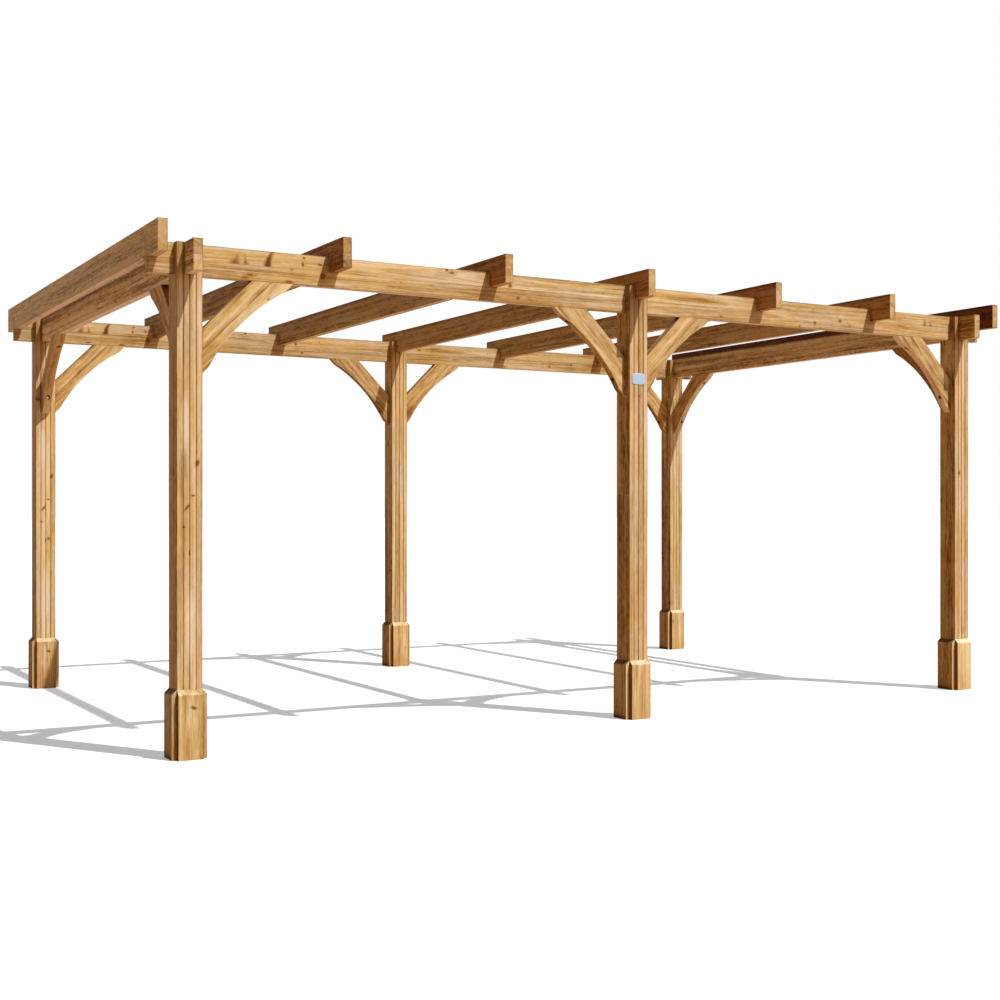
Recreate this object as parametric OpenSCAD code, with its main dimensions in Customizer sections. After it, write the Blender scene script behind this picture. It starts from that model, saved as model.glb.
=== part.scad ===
// Open wooden pergola: six laminated posts carry boards set on edge, with
// notched rafters over the top, curved knee braces and boarded post feet.
// X runs along the long side, Y from front to back and Z up from the ground.
// The origin is on the ground, in the middle of the six posts.

/* [Frame] */
// Distance between the corner posts' centres along the long side
span_x = 4980; // [3600:10:6400]
// Distance between the front and back posts' centres
span_y = 2955; // [2000:5:4200]
// Height of the posts, level with the tops of the beams
post_h = 2345; // [2000:5:3000]
// Reach of beams and rafters past the corner posts' centres
overhang = 183; // [130:1:400]

/* [Posts] */
// Side of the square post
post_w = 120; // [100:1:180]
// Number of strips glued side by side in a post
post_plies = 4; // [2:1:6]
// Width of the V-groove along each glue line
groove_w = 7; // [2:0.5:10]

/* [Boards] */
// Thickness of beams, rafters and braces
board_t = 45; // [35:1:60]
// Depth of beams and rafters, and width of the brace boards
board_h = 145; // [110:1:200]
// Width of the chamfer along the edges of posts and boards
arris = 1; // [0.5:0.5:6]
// Room on each side of a board in the slot or notch that holds it
joint_fit = 0.3; // [0.1:0.1:1]

/* [Knee braces] */
// Distance from the corner to the straight upper edge, along post and beam
brace_leg = 250; // [150:5:400]
// Depth of the hollow arc in the lower edge
brace_hollow = 38; // [15:1:55]
// Straight length left at both ends of the lower edge
brace_nose = 55; // [30:1:90]
// Distance from the brace's outer tip to its fixing hole, along post or beam
fix_setback = 95; // [80:1:120]
// Diameter of the counterbored fixing hole
cbore_d = 25; // [15:1:32]
// Wood left between the counterbore's floor and the post or beam
cbore_wood = 45; // [25:1:60]

/* [Feet] */
// Height of the boards around the foot of a post
shoe_h = 317; // [200:1:500]
// Thickness of the foot boards, bevelled over their whole top edge
shoe_t = 22; // [12:1:35]
// Distance that a foot board stops short of the post's edges
shoe_edge_gap = 1; // [0.5:0.5:5]

/* [Hidden] */

$fa = 1;
$fs = 1;

// Room that a cutting solid runs past the faces it opens
over = 1;

// Sides of the frame, as signs along X or Y
left = -1;
right = 1;
front = -1;
back = 1;
middle = 0;

post_color = "#c8985c";
beam_color = "#cfa26a";
rafter_color = "#c4935a";
brace_color = "#cda068";
shoe_color = "#c39156";

// Every notch takes half of a board's depth, and every slot one board
half_lap = board_h / 2;
slot_w = board_t + 2 * joint_fit;

// Underside and middle height of the boards that lie in the post slots
beam_z = post_h - board_h;
lap_z = post_h - half_lap;

// Ends of the long beams and of the boards that cross them
reach_x = span_x / 2 + overhang;
reach_y = span_y / 2 + overhang;

// The outer rafters lie flush with the ends of the long beams
rafter_count = 7;
rafter_pitch = 2 * (reach_x - board_t / 2) / (rafter_count - 1);

// Outer tip of a brace, from the corner along post and beam
brace_tip = brace_leg + board_h * sqrt(2);
// Radius of the hollow from its chord and depth, and its centre's place along both legs
brace_chord = brace_tip * sqrt(2) - 2 * brace_nose;
brace_r = (pow(brace_chord / 2, 2) + pow(brace_hollow, 2)) / (2 * brace_hollow);
brace_centre = (brace_tip / sqrt(2) - brace_hollow + brace_r) / sqrt(2);
fix_at = brace_tip - fix_setback;

shoe_w = post_w - 2 * shoe_edge_gap;

// Rectangle with its four corners taken off
module chamfered_section(w, h) {
    x = w / 2;
    y = h / 2;
    polygon([
        [x - arris, -y], [x, arris - y], [x, y - arris], [x - arris, y],
        [arris - x, y], [-x, y - arris], [-x, arris - y], [arris - x, -y]
    ]);
}

// Post section, grooved on the front and back where the strips meet
module post_section() {
    ply_w = post_w / post_plies;
    difference() {
        chamfered_section(post_w, post_w);
        for (i = [1 : post_plies - 1], side = [front, back])
            translate([i * ply_w - post_w / 2, side * post_w / 2])
                rotate(45) square(groove_w / sqrt(2), center = true);
    }
}

// Open slot along X, cut down from the top of a post
module top_slot(depth) {
    translate([-post_w / 2 - over, -slot_w / 2, post_h - depth])
        cube([post_w + 2 * over, slot_w, depth + over]);
}

// Post whose top is cut into four prongs. cross_depth is the slot along Y.
module post(x_side, y_side, cross_depth) {
    color(post_color) translate([x_side * span_x / 2, y_side * span_y / 2, 0])
        difference() {
            linear_extrude(post_h) post_section();
            top_slot(board_h);
            rotate(90) top_slot(cross_depth);
        }
}

// A corner post holds two full boards, a middle post a beam and half a rafter
module corner_post(x_side, y_side) {
    post(x_side, y_side, board_h);
}

module middle_post(y_side) {
    post(middle, y_side, half_lap);
}

// Board on edge along X, centred on its own middle
module board(length) {
    rotate([90, 0, 90]) linear_extrude(length, center = true) chamfered_section(board_t, board_h);
}

// Cut through half of a board's depth, from its middle to its top or bottom edge
module lap_notch(bottom) {
    translate([-slot_w / 2, -board_t / 2 - over, bottom])
        cube([slot_w, board_t + 2 * over, half_lap + over]);
}

module upper_notch() {
    lap_notch(0);
}

module lower_notch() {
    lap_notch(-half_lap - over);
}

// Half of a long beam, from its free end to the butt joint in the middle post
module beam_half(x_side, y_side) {
    inner = joint_fit / 2;
    color(beam_color) translate([0, y_side * span_y / 2, lap_z])
        difference() {
            translate([x_side * (reach_x + inner) / 2, 0, 0]) board(reach_x - inner);
            translate([x_side * span_x / 2, 0, 0]) upper_notch();
        }
}

// Board along Y, notched on its underside where it crosses the long beams
module crossing_board(x, z) {
    translate([x, 0, z]) rotate(90)
        difference() {
            board(2 * reach_y);
            for (side = [front, back])
                translate([side * span_y / 2, 0, 0]) lower_notch();
        }
}

// Side beam, halved into the long beams in the tops of the corner posts
module side_beam(x_side) {
    color(beam_color) crossing_board(x_side * span_x / 2, lap_z);
}

// Rafter, standing half its depth above the beams
module rafter(number) {
    color(rafter_color) crossing_board((number - (rafter_count + 1) / 2) * rafter_pitch, post_h);
}

// Side view of a brace: X away from the post's face, Y down from the beam
module brace_outline() {
    difference() {
        polygon([[brace_leg, 0], [brace_tip, 0], [0, -brace_tip], [0, -brace_leg]]);
        translate([brace_centre, -brace_centre]) circle(r = brace_r);
    }
}

// Knee brace in the post's own plane, with a fixing hole towards post and beam
module brace(x_side, y_side, heading) {
    color(brace_color) translate([x_side * span_x / 2, y_side * span_y / 2, beam_z])
        rotate(heading) translate([post_w / 2, 0, 0])
            difference() {
                rotate([90, 0, 0]) linear_extrude(board_t, center = true) brace_outline();
                translate([cbore_wood, 0, -fix_at]) rotate([0, 90, 0])
                    cylinder(d = cbore_d, h = brace_tip);
                translate([fix_at, 0, -cbore_wood]) rotate([180, 0, 0])
                    cylinder(d = cbore_d, h = brace_tip);
            }
}

// Directions in which a brace leaves its post
to_right = 0;
to_back = 90;
to_left = 180;
to_front = 270;

// Board on one face of a post's foot, bevelled from its outer face to the post
module shoe_board() {
    translate([0, -post_w / 2, 0]) rotate([90, 0, 90])
        linear_extrude(shoe_w, center = true)
            polygon([[0, 0], [0, shoe_h], [-shoe_t, shoe_h - shoe_t], [-shoe_t, 0]]);
}

module shoe(x_side, y_side) {
    color(shoe_color) translate([x_side * span_x / 2, y_side * span_y / 2, 0])
        for (face = [0 : 3])
            rotate(90 * face) shoe_board();
}

module post_front_left() { corner_post(left, front); }
module post_front_middle() { middle_post(front); }
module post_front_right() { corner_post(right, front); }
module post_back_left() { corner_post(left, back); }
module post_back_middle() { middle_post(back); }
module post_back_right() { corner_post(right, back); }

module shoe_front_left() { shoe(left, front); }
module shoe_front_middle() { shoe(middle, front); }
module shoe_front_right() { shoe(right, front); }
module shoe_back_left() { shoe(left, back); }
module shoe_back_middle() { shoe(middle, back); }
module shoe_back_right() { shoe(right, back); }

module beam_front_left() { beam_half(left, front); }
module beam_front_right() { beam_half(right, front); }
module beam_back_left() { beam_half(left, back); }
module beam_back_right() { beam_half(right, back); }
module side_beam_left() { side_beam(left); }
module side_beam_right() { side_beam(right); }

module brace_front_left() { brace(left, front, to_right); }
module brace_front_middle_left() { brace(middle, front, to_left); }
module brace_front_middle_right() { brace(middle, front, to_right); }
module brace_front_right() { brace(right, front, to_left); }
module brace_back_left() { brace(left, back, to_right); }
module brace_back_middle_left() { brace(middle, back, to_left); }
module brace_back_middle_right() { brace(middle, back, to_right); }
module brace_back_right() { brace(right, back, to_left); }
module brace_left_front() { brace(left, front, to_back); }
module brace_left_back() { brace(left, back, to_front); }
module brace_right_front() { brace(right, front, to_back); }
module brace_right_back() { brace(right, back, to_front); }

post_front_left();
post_front_middle();
post_front_right();
post_back_left();
post_back_middle();
post_back_right();

shoe_front_left();
shoe_front_middle();
shoe_front_right();
shoe_back_left();
shoe_back_middle();
shoe_back_right();

beam_front_left();
beam_front_right();
beam_back_left();
beam_back_right();
side_beam_left();
side_beam_right();

rafter(1);  // rafter_1
rafter(2);  // rafter_2
rafter(3);  // rafter_3
rafter(4);  // rafter_4
rafter(5);  // rafter_5
rafter(6);  // rafter_6
rafter(7);  // rafter_7

brace_front_left();
brace_front_middle_left();
brace_front_middle_right();
brace_front_right();
brace_back_left();
brace_back_middle_left();
brace_back_middle_right();
brace_back_right();
brace_left_front();
brace_left_back();
brace_right_front();
brace_right_back();
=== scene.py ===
# %% [markdown]
# This lesson dresses a wooden garden pergola: six glued posts on boarded feet, boards on edge
# between them, notched rafters on top and knee braces in the corners. The solids come ready
# made from the frame, so no shape is measured twice. What is left for Blender is the timber
# itself, with its growth rings, streaks and knots, the screws in the braces, a small bare
# plate on the front middle post, and the light that shows them.

# %% Load the frame
import math
import random
from types import SimpleNamespace

import bpy
import numpy as np
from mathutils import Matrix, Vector


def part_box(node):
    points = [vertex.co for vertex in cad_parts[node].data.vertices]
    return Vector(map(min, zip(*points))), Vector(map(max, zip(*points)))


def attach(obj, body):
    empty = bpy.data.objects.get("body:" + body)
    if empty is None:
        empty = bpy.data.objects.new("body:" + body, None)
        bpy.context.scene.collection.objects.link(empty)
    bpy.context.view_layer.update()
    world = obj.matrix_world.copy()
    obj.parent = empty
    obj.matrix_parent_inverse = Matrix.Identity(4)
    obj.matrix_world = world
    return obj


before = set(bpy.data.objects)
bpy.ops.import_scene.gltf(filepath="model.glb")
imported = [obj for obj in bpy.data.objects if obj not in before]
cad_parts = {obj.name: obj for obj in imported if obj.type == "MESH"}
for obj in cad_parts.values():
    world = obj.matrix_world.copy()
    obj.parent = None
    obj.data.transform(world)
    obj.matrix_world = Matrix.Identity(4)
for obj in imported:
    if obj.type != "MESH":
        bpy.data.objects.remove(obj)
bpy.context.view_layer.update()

# %% [markdown]
# The picture was taken from about chest height, off the left front corner, with the camera
# held level. A level camera keeps the posts upright in the picture. Blender's shift then moves
# the horizon to where the picture has it, which tilting could not do without leaning the posts.

# %% Camera
STAND = (-4.4653, -7.7742, 1.1352)
LEVEL = math.radians(90)
VIEW_TURN = math.radians(-29.989)
FILM_WIDTH = 36.0
FOCAL_LENGTH = 50.753
HORIZON_SHIFT = 0.0091
FARTHEST = 500.0

lens = bpy.data.cameras.new("garden_view")
lens.sensor_width = FILM_WIDTH
lens.lens = FOCAL_LENGTH
lens.shift_y = HORIZON_SHIFT
lens.clip_end = FARTHEST
camera = bpy.data.objects.new("garden_view", lens)
camera.location = STAND
camera.rotation_euler = (LEVEL, 0.0, VIEW_TURN)
bpy.context.scene.collection.objects.link(camera)
bpy.context.scene.camera = camera
print("camera at", STAND)

# %% [markdown]
# A high sun from the right front draws the shadow of the frame on the ground. One hard lamp
# would leave the front faces dull, so a wide soft lamp stands in front as well, and a second
# one behind lights the sides that the picture does not show. Suns are used because every post
# then gets the same light, whatever its place along the frame.

# %% Lamps
# Each sun by the way to it, its strength and its width in degrees
SUNS = {
    "high_sun": ((0.300, -0.502, 1.0), 4.3, 0.6),
    "front_softbox": ((0.45, -0.87, 0.2), 0.5, 35.0),
    "back_softbox": ((0.62, 0.68, 0.38), 1.2, 60.0),
}


def hang_sun(name, towards, strength, width):
    """Adds a white sun lamp that shines from the direction towards."""
    lamp = bpy.data.lights.new(name, "SUN")
    lamp.energy = strength
    lamp.angle = math.radians(width)
    holder = bpy.data.objects.new(name, lamp)
    holder.rotation_euler = Vector(towards).to_track_quat("Z", "Y").to_euler()
    bpy.context.scene.collection.objects.link(holder)
    print("lamp", name, "strength", strength)


for name, sun in SUNS.items():
    hang_sun(name, *sun)
bpy.context.scene.view_settings.view_transform = "Standard"

# %% [markdown]
# A shader is a formula, and a formula is easier to read as a line of Python than as a web of
# boxes. The class below wraps one socket. Adding or multiplying two of them puts a Math node
# into the tree, and any other kind of node comes from its method called add. Colours go
# through blend and places through stretch, because a Math node would keep only their grey.

# %% Formulas for shaders
class Wire:
    """One socket of a node tree. Arithmetic on wires adds Math nodes to that tree."""

    def __init__(self, tree, socket=None):
        self.tree = tree
        self.socket = socket

    def add(self, kind, settings=None, sockets=None, out=0):
        """Adds a node: first its settings, then a value or a wire for each socket."""
        node = self.tree.nodes.new("ShaderNode" + kind)
        for name, value in (settings or {}).items():
            if name == "stops":
                lay_stops(node.color_ramp, value)
            else:
                setattr(node, name, value)
        for name, value in (sockets or {}).items():
            if isinstance(value, Wire):
                self.tree.links.new(value.socket, node.inputs[name])
            else:
                node.inputs[name].default_value = value
        return Wire(self.tree, node.outputs[out] if node.outputs else None)

    def beside(self, out):
        """Another output of the node that this wire comes from."""
        return Wire(self.tree, self.socket.node.outputs[out])

    def parts(self):
        """The three components of a vector or a colour."""
        first = self.add("SeparateXYZ", sockets={0: self})
        return first, first.beside(1), first.beside(2)

    def math(self, operation, *values):
        return self.add("Math", {"operation": operation}, dict(enumerate(values)))

    def __add__(self, other):
        return self.math("ADD", self, other)

    def __radd__(self, other):
        return self.math("ADD", other, self)

    def __sub__(self, other):
        return self.math("SUBTRACT", self, other)

    def __rsub__(self, other):
        return self.math("SUBTRACT", other, self)

    def __mul__(self, other):
        return self.math("MULTIPLY", self, other)

    def __rmul__(self, other):
        return self.math("MULTIPLY", other, self)

    def __truediv__(self, other):
        return self.math("DIVIDE", self, other)

    def __rtruediv__(self, other):
        return self.math("DIVIDE", other, self)

    def __gt__(self, other):
        return self.math("GREATER_THAN", self, other)

    def __lt__(self, other):
        return self.math("LESS_THAN", self, other)

    def __abs__(self):
        return self.math("ABSOLUTE", self)

    def most(self, other):
        """The larger of two values."""
        return self.math("MAXIMUM", self, other)

    def least(self, other):
        """The smaller of two values."""
        return self.math("MINIMUM", self, other)

    def step(self, low, high, start=0.0, end=1.0):
        """Goes gently from start to end while this value goes from low to high."""
        ends = {"From Min": low, "From Max": high, "To Min": start, "To Max": end}
        return self.add("MapRange", {"interpolation_type": "SMOOTHSTEP"}, {"Value": self, **ends})

    def fall(self, low, high, start=1.0):
        """Goes gently from start to nought while this value goes from low to high."""
        return self.step(low, high, start, 0.0)

    def swing(self, reach):
        """A value around one half as a change around nought, this many times as wide."""
        return (self - 0.5) * reach

    def stretch(self, scale, offset=(0.0, 0.0, 0.0)):
        """This vector times scale plus offset, each a triple."""
        sockets = {0: self, 1: scale, 2: offset}
        return self.add("VectorMath", {"operation": "MULTIPLY_ADD"}, sockets)

    def noise(self, detail, rough, out=0):
        """Soft random value around one half, at this vector."""
        sockets = {"Vector": self, "Scale": 1.0, "Detail": detail, "Roughness": rough}
        return self.add("TexNoise", {"noise_dimensions": "3D"}, sockets, out)

    def blend(self, colour, share, how="MIX"):
        """This colour with a share of another one, a triple, laid over it."""
        settings = {"data_type": "RGBA", "blend_type": how}
        return self.add("Mix", settings, {0: share, 6: self, 7: opaque(colour)}, 2)

    def tinted(self, shades):
        """This colour, multiplied in turn by each shade as far as that shade's share goes."""
        colour = self
        for shade, share in shades:
            colour = colour.blend(shade, share, "MULTIPLY")
        return colour


def lay_stops(ramp, stops):
    """Gives a colour ramp these stops, each a place and a colour of three numbers."""
    while len(ramp.elements) < len(stops):
        ramp.elements.new(1.0)
    for element, (place, colour) in zip(ramp.elements, stops):
        element.position = place
        element.color = opaque(colour)


def opaque(colour):
    """A colour of three numbers as a socket takes it."""
    return (*colour, 1.0)


def new_finish(name):
    """An empty material, and a wire to start its formula from."""
    finish = bpy.data.materials.new(name)
    finish.use_nodes = True
    finish.node_tree.nodes.clear()
    return finish, Wire(finish.node_tree)


def put_out(wire, sockets):
    """Ends a formula: one Principled surface with these sockets."""
    surface = wire.add("BsdfPrincipled", sockets=sockets)
    wire.add("OutputMaterial", sockets={"Surface": surface})


print("formula class ready")

# %% [markdown]
# The floor has two jobs. The camera should see a white sheet that keeps only the grey of the
# shadow, while the underside of the frame should get a warm and rather weak light back from
# it, as from stone or soil. The Light Path node tells the two apart: rays from the camera, and
# those reflected in metal, meet a mix of plain white glow and white paint.

# %% Floor and surroundings
WHITE = (1.0, 1.0, 1.0)
PAPER = (0.95, 0.95, 0.95)
PAINT_SHARE = 0.63
WARM_STONE = (0.45, 0.26, 0.155)
ROOM_LIGHT = 0.02
FLOOR_REACH = 150.0
FLOOR_DROP = -0.0005


def seen_directly(wire):
    """One for rays that show the surroundings, from the camera, in a gloss or through glass."""
    path = wire.add("LightPath", out="Is Camera Ray")
    return path.most(path.beside("Is Glossy Ray")).most(path.beside("Is Transmission Ray"))


def paint(wire, colour):
    return wire.add("BsdfDiffuse", sockets={"Color": opaque(colour)})


def mixed(wire, share, one, two):
    return wire.add("MixShader", sockets={0: share, 1: one, 2: two})


def floor_finish():
    finish, wire = new_finish("pale_floor")
    glow = wire.add("Emission", sockets={"Color": opaque(WHITE), "Strength": 1.0})
    shown = mixed(wire, PAINT_SHARE, glow, paint(wire, PAPER))
    surface = mixed(wire, seen_directly(wire), paint(wire, WARM_STONE), shown)
    wire.add("OutputMaterial", sockets={"Surface": surface})
    return finish


def light_the_room():
    world = bpy.data.worlds.new("white_room")
    bpy.context.scene.world = world
    world.use_nodes = True
    world.node_tree.nodes.clear()
    wire = Wire(world.node_tree)
    shown, cast = (
        wire.add("Background", sockets={"Color": opaque(WHITE), "Strength": strength})
        for strength in (1.0, ROOM_LIGHT)
    )
    wire.add("OutputWorld", sockets={"Surface": mixed(wire, seen_directly(wire), cast, shown)})


corner = np.array([[-1, -1, 0], [1, -1, 0], [1, 1, 0], [-1, 1, 0]]) * FLOOR_REACH
corner[:, 2] = FLOOR_DROP
sheet = bpy.data.meshes.new("floor")
sheet.from_pydata(corner.tolist(), [], [(0, 1, 2, 3)])
sheet.materials.append(floor_finish())
floor = bpy.data.objects.new("floor", sheet)
bpy.context.scene.collection.objects.link(floor)
light_the_room()
print("floor reaches", FLOOR_REACH, "m each way")

# %% [markdown]
# Every board is sawn along the grain, so its pattern needs coordinates of its own: x along the
# board, y through it and z over its depth. A Mapping node of type Texture gives them from the
# middle of the board and the turn of its grain. Turning the objects would do the same, but the
# solids have to stay as the frame puts them. Some sides get painted shade: both sides of the
# posts, rafters and feet, and the hollow edges of the braces. The place of a point tells which
# side it lies on, so no face has to be picked by hand.

# %% Place in the board
SKIN = 0.0012
SHOE_EDGE = 0.059
BEVEL = 0.022


def painted_shade_sides(solid, y, z):
    """One on the sides that get painted shade, or on a few braces painted light instead."""
    if solid.cut == "post":
        return abs(z) > solid.half[2] - SKIN
    if solid.cut == "rafter":
        return abs(y) > solid.half[1] - SKIN
    if solid.cut == "brace":
        return (abs(y) < solid.half[1] - SKIN) * (z < solid.half[2])
    if solid.cut == "shoe":
        return (abs(z) > abs(y)) * (abs(y) < SHOE_EDGE - SKIN)
    return 0.0


def place_in_board(wire, solid):
    """Metres from the middle of the board, and the kind of face that a point lies on.

    flank is one off the ends, rough on the sides chosen for painted shade, the painted shade
    mask where they take it, worn where weather did as much, and bevel on the sloping top of a shoe."""
    lie = {
        "Vector": wire.add("TexCoord", out="Object"),
        "Location": solid.centre,
        "Rotation": [math.radians(angle) for angle in solid.turn],
    }
    x, y, z = wire.add("Mapping", {"vector_type": "TEXTURE"}, lie).parts()
    at = SimpleNamespace(x=x, y=y, z=z)
    at.flank = abs(x) < solid.half[0] - SKIN
    at.rough = painted_shade_sides(solid, y, z)
    # The chosen sides get painted shade, unless the solid takes none.
    at.stained = at.rough * solid.stain
    at.worn = at.flank * solid.worn
    at.bevel = (x > solid.half[0] - BEVEL) if solid.cut == "shoe" else 0.0
    return at


print("rough sides are found to", SKIN, "m")

# %% [markdown]
# Long timber this straight is glued from layers, two of them in the depth of a board, which is
# why a beam changes colour along its middle. Each layer comes from another log, so each gets
# its own heart, place along the log, shade and blush. One log for the whole board would be
# simpler, but the change at the glue line is the first thing that tells glued timber apart.

# %% Layers of a board
LAYER_DEPTH = 0.0725
EDGE_HEARTS = 0.35
HEART_OFF_EDGE, HEART_LEVEL = (0.05, 0.08), (-0.015, 0.015)
HEART_ASIDE, HEART_OFF_FACE = (-0.04, 0.04), (0.035, 0.09)
LOG_STARTS, BLUSHES = (10, 60), (0.0, 0.6)


def in_log(along, across, through, layer):
    """Where a point lies in the log that its layer was cut from, with the layer's values."""
    length = along + layer["start"]
    spot = length.add("CombineXYZ", sockets={0: length, 1: across, 2: through})
    return SimpleNamespace(length=length, across=across, through=through, spot=spot, **layer)


def drawn_layer(dice, shade):
    """One layer of a board. Mostly the heart is off its wide face, and sometimes off its edge."""
    side = dice.choice((-1, 1))
    if dice.random() < EDGE_HEARTS:
        heart = (side * dice.uniform(*HEART_OFF_EDGE), dice.uniform(*HEART_LEVEL))
    else:
        heart = (dice.uniform(*HEART_ASIDE), side * dice.uniform(*HEART_OFF_FACE))
    size = math.hypot(*heart)
    return {
        "heart_across": heart[0], "heart_through": heart[1],
        "face_across": -heart[0] / size, "face_through": -heart[1] / size,
        "start": dice.uniform(*LOG_STARTS), "shade": shade, "blush": dice.uniform(*BLUSHES),
    }


def board_layers(dice, at, solid):
    """Two layers in the depth of a board, below and above its glue line."""
    above = at.z > solid.seam
    low, high = (drawn_layer(dice, shade) for shade in solid.shades)
    layer = {key: low[key] + above * (high[key] - low[key]) for key in low}
    return in_log(at.x, at.z - solid.seam - above.swing(LAYER_DEPTH), at.y, layer)


print("layers are", LAYER_DEPTH, "m deep")

# %% [markdown]
# A post is glued from four strips side by side, and a shoe is four boards round its foot. For
# two layers it was enough to choose by the side of the glue line. Four would need a long chain
# of choices, so here a White Noise node draws the values of a layer from its number.

# %% Strips of a post and boards of a shoe
STRIP = 0.030
SHOE_MIDDLE = 0.071
STRIP_DRAWS = (10, 900)
STRIP_ASIDE = 0.09
STRIP_NEAR, STRIP_SPREAD = 0.045, 0.05
STRIP_STARTS = (40, 9)
STRIP_SHADES = 0.2
STRIP_BLUSH = (0.3, 1.0)


def hashed_layer(dice, number, shade):
    """A layer whose values come from a noise that is different for every whole number."""
    draw = number + dice.randrange(*STRIP_DRAWS)
    chance = draw.add("TexWhiteNoise", {"noise_dimensions": "1D"}, {"W": draw}, "Color")
    one, two, three = chance.parts()
    face = (three > 0.5) * 2 - 1
    return {
        "heart_across": one.swing(STRIP_ASIDE),
        "heart_through": face * (-STRIP_NEAR - two * STRIP_SPREAD),
        "face_across": 0.0, "face_through": face,
        "start": one * STRIP_STARTS[0] + two * STRIP_STARTS[1],
        "shade": two * STRIP_SHADES + (shade - STRIP_SHADES / 2),
        "blush": three.step(*STRIP_BLUSH),
    }


def post_layers(dice, at, solid):
    """Four strips side by side, numbered from one side of the post to the other."""
    number = at.z.math("FLOOR", at.z / STRIP)
    layer = hashed_layer(dice, number, solid.shades[0])
    return in_log(at.x, at.y, at.z - (number + 0.5) * STRIP, layer)


def shoe_layers(dice, at, solid):
    """Four boards round a post's foot, told apart by the side on which a point lies."""
    sideways = abs(at.y) < abs(at.z)
    front = 1 - sideways
    number = sideways * 2 + (at.y * front + at.z * sideways > 0)
    layer = hashed_layer(dice, number, solid.shades[0])
    through = abs(at.z) * sideways + abs(at.y) * front - SHOE_MIDDLE
    return in_log(at.x, at.y * sideways + at.z * front, through, layer)


LAYERS = {
    "board": board_layers, "rafter": board_layers, "brace": board_layers,
    "post": post_layers, "shoe": shoe_layers,
}
print("layers for", ", ".join(LAYERS))

# %% [markdown]
# A board is a slice of a log, and the heart of that log mostly lies outside the board. The
# distance from the heart gives the growth rings, so the same rings run over the faces, the
# edges and the ends. Painting each face by itself would be quicker, but the pattern would then
# break at every edge.

# %% Heart of the log
SWAY_PITCH, SWAY_START = (0.8, 5.0, 5.0), (3.0, 0.0, 0.0)
SWAY_ACROSS, SWAY_THROUGH = 0.06, 0.05
COLOUR_OUT = 1


def from_heart(log):
    """Distance and direction from the heart, which wanders a little along the board.

    The distance is the root of the sum of squares of across and through, each measured from
    the heart. The direction is the angle of that pair, zero towards the middle of the layer."""
    sway, lean, _ = log.spot.stretch(SWAY_PITCH, SWAY_START).noise(1.0, 0.5, COLOUR_OUT).parts()
    u = log.across - log.heart_across + sway.swing(SWAY_ACROSS)
    v = log.through - log.heart_through + lean.swing(SWAY_THROUGH)
    toward = u * log.face_across + v * log.face_through
    beside = u * log.face_through - v * log.face_across
    return u.math("SQRT", u * u + v * v), u.math("ARCTAN2", beside, toward)


print("the heart sways by", SWAY_ACROSS, "m")

# %% [markdown]
# A knot is a branch that grew out from the heart, so its place is a point along the log and a
# direction round it. A Voronoi pattern on those two numbers scatters the branches, and only
# some cells keep theirs. Seen on a wide face a knot is a round spot, and on an edge the same
# branch is cut along its length and shows as a spike. The knots that stand out in the picture
# are added one by one, each as an ellipse or a spike that may lean.

# %% Branches
KNOT_SPREAD = 0.19
KNOT_ARC = 0.11
KNOT_SCATTER = 0.9
LEAST_KNOT, KNOT_GROWTH = 0.0035, 0.0075
FAR_OFF = 9.0
SPIKE_SIDES, SPIKE_TIP = 1.7, 1.3


def branches(log, share):
    """How far a point is from the nearest branch, in branch radii, and whether it is kept."""
    spot = log.length.add("CombineXYZ", sockets={0: log.length, 1: log.direction * KNOT_ARC, 2: 0.0})
    cell = {"Vector": spot, "Scale": 1.0 / KNOT_SPREAD, "Randomness": KNOT_SCATTER}
    near = spot.add("TexVoronoi", {"voronoi_dimensions": "2D", "feature": "F1"}, cell)
    chance, size, _ = near.beside("Color").parts()
    radius = LEAST_KNOT + KNOT_GROWTH * size * size
    return near * KNOT_SPREAD / radius, chance < share


def round_knots(at, knots):
    """How far a point is from the nearest of these knots, in radii of its ellipse.

    A knot is its place along and across the board, its two radii, and how far it leans along
    the board for each metre across."""
    nearest = FAR_OFF
    for along, over, radius_along, radius_over, lean in knots:
        u = (at.x - along - (at.z - over) * lean) / radius_along
        v = (at.z - over) / radius_over
        nearest = u.math("SQRT", u * u + v * v).least(nearest)
    return nearest


def spike_knots(at, ragged, spikes):
    """How dark a point is made by branches cut lengthwise, which stand on the glue line.

    A spike is the place of its foot, its height, half its width at the foot and at the tip,
    how far it leans, and how dark it is. Its sides are hollow: the width falls with the square
    of the way that is left to the tip, and the middle leans with the square of the climb."""
    darkest = 0.0
    for along, height, foot, tip, lean, dark in spikes:
        climb = (at.z / height).most(0.0)
        left = (1 - climb).most(0.0)
        width = left * left * (foot - tip) + tip
        reach = abs(at.x - along - climb * climb * lean) / width + ragged
        shape = reach.fall(0.0, SPIKE_SIDES, dark) * climb.fall(0.0, SPIKE_TIP) * (at.z > 0)
        darkest = shape.most(darkest)
    return darkest


print("branch cells of", KNOT_SPREAD, "m")

# %% [markdown]
# A knot has three parts that are seen: the wood round it is warmer, its bark is a dark rim,
# and its middle is brown. Each is a band of distances from the knot, counted in radii of the
# knot, so small and large ones are drawn by the same formula. Where knots meet, the stronger
# mark wins, because adding them up would go darker than wood can be.

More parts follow.
